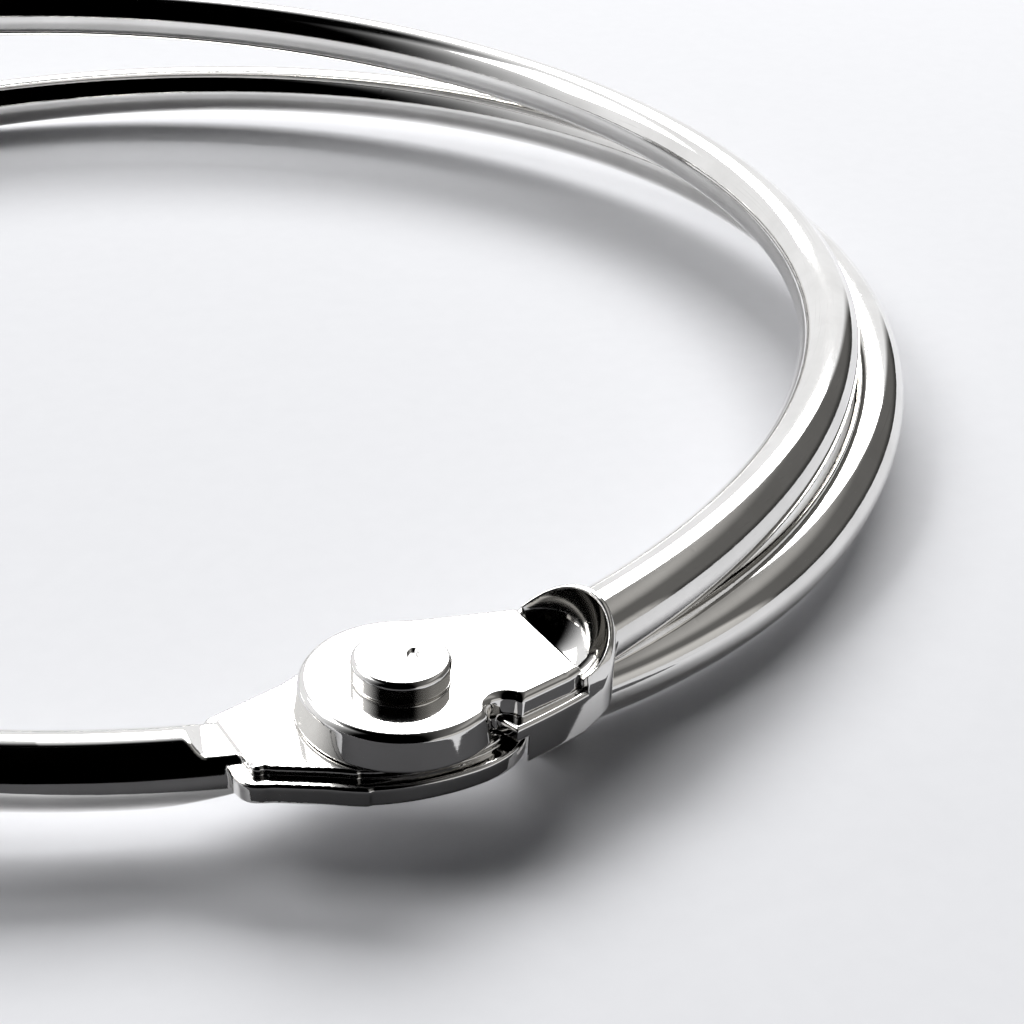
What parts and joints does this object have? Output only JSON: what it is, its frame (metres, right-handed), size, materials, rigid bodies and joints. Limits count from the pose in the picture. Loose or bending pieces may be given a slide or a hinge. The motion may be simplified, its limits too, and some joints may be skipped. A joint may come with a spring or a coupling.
{
  "type": "hinged binder ring",
  "caption": "Hinged loose-leaf ring in plated steel, with a plain wire half and a doubled wire half joined by a riveted lap hinge.",
  "frame": {"origin": "centre of the single wire's circle, in the plane of that wire's centre line", "axes": "+Z along the hinge's axis, up through the rivet's upper head; the hinge is on -Y, the single wire runs round -X and the two strands run round +X"},
  "size_m": [0.0802, 0.0844, 0.0102],
  "materials": {
    "single_wire_plate": "bright nickel plate on steel wire",
    "socket_plate": "bright nickel plate on a formed steel socket",
    "strand_plate": "bright nickel plate on steel wire",
    "rivet_plate": "nickel plate, slightly duller than the wires"
  },
  "bodies": {
    "double_half": {"hinge_socket": "socket_plate", "upper_wire": "strand_plate", "lower_wire": "strand_plate", "rivet": "rivet_plate"},
    "single_half": {"single_wire": "single_wire_plate"}
  },
  "joints": [
    {"name": "ring_hinge", "type": "hinge", "parent": "double_half", "child": "single_half", "pos_m": [0, -0.0395, 0], "axis": [0, 0, 1], "range_deg": [0, 90]}
  ]
}
